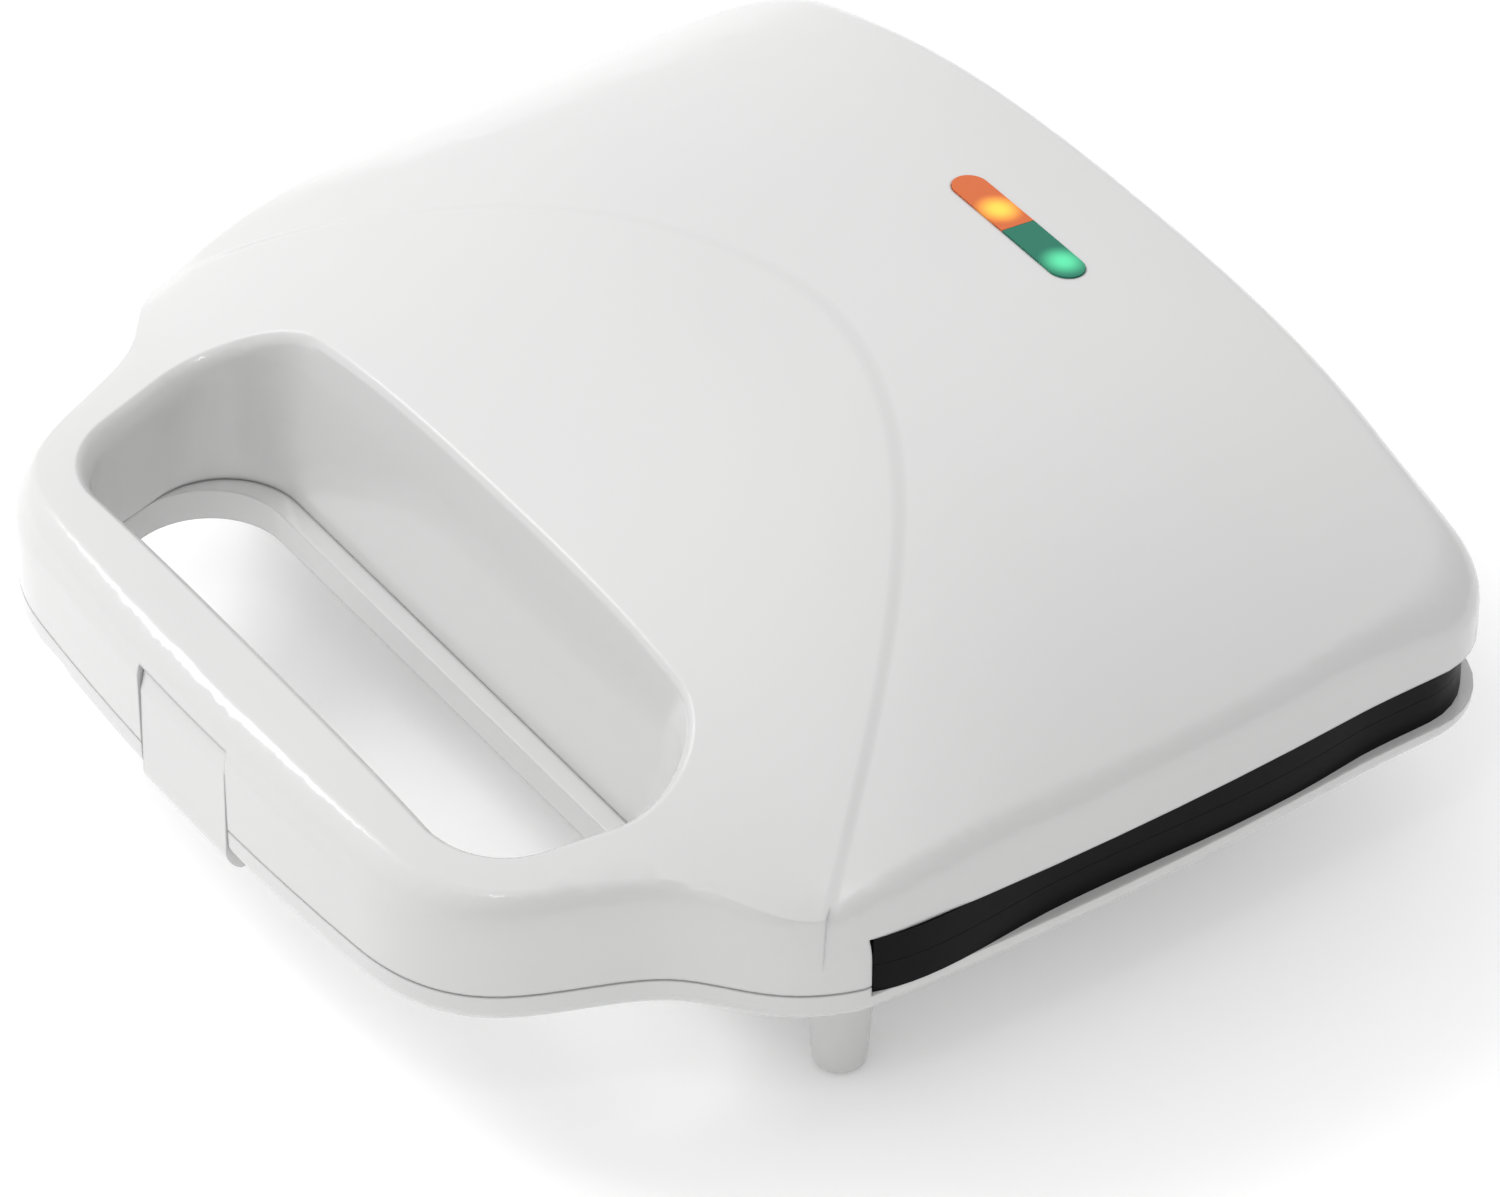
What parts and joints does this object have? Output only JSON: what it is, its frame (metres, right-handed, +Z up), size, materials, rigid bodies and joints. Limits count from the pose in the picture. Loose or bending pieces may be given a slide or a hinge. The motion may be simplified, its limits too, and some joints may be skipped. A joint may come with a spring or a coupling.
{
  "type": "sandwich maker",
  "caption": "Hinged white sandwich maker with a loop handle, a latch clip, black cast plates with triangular pockets and two indicator lenses.",
  "frame": {"origin": "middle of the footprint, on the surface the four foot pads stand on", "axes": "+Z up, +X along the hinge to the right as seen from the handle, +Y from the handle to the hinge"},
  "size_m": [0.238, 0.2222, 0.0845],
  "materials": {
    "white_plastic": "high gloss moulded white plastic",
    "nonstick": "black non-stick coating on cast aluminium",
    "heater_steel": "oxidised steel tube",
    "sheet_metal": "bright pressed sheet",
    "screw_steel": "zinc plated steel",
    "thermostat_body": "unglazed steatite",
    "terminal_nylon": "off-white nylon",
    "pad_rubber": "grey rubber",
    "orange_lens": "clear orange plastic",
    "green_lens": "clear green plastic",
    "lamp_glass": "neon lamp glass"
  },
  "bodies": {
    "base": {"base_cover": "white_plastic", "lower_plate": "nonstick", "lower_heater": "heater_steel", "lower_reflector": "sheet_metal", "lower_reflector_screws": "screw_steel", "lower_plate_screws": "screw_steel", "thermostat": "thermostat_body", "thermal_fuse": "thermostat_body", "terminal_block": "terminal_nylon", "left_hinge_pin": "screw_steel", "right_hinge_pin": "screw_steel", "front_left_foot_pad": "pad_rubber", "front_right_foot_pad": "pad_rubber", "rear_left_foot_pad": "pad_rubber", "rear_right_foot_pad": "pad_rubber"},
    "lid": {"lid_cover": "white_plastic", "upper_plate": "nonstick", "upper_heater": "heater_steel", "upper_reflector": "sheet_metal", "upper_reflector_screws": "screw_steel", "upper_plate_screws": "screw_steel", "latch_pin": "screw_steel", "latch_spring": "screw_steel", "power_lens": "orange_lens", "ready_lens": "green_lens", "lamp_holder": "terminal_nylon", "power_lamp": "lamp_glass", "ready_lamp": "lamp_glass"},
    "latch": {"latch_clip": "white_plastic"}
  },
  "joints": [
    {"name": "lid_hinge", "type": "hinge", "parent": "base", "child": "lid", "pos_m": [0, 0.107, 0.04], "axis": [-1, 0, 0], "range_deg": [0, 105]},
    {"name": "latch_hinge", "type": "hinge", "parent": "lid", "child": "latch", "pos_m": [0, -0.1045, 0.0495], "axis": [-1, 0, 0], "range_deg": [0, 25]}
  ]
}
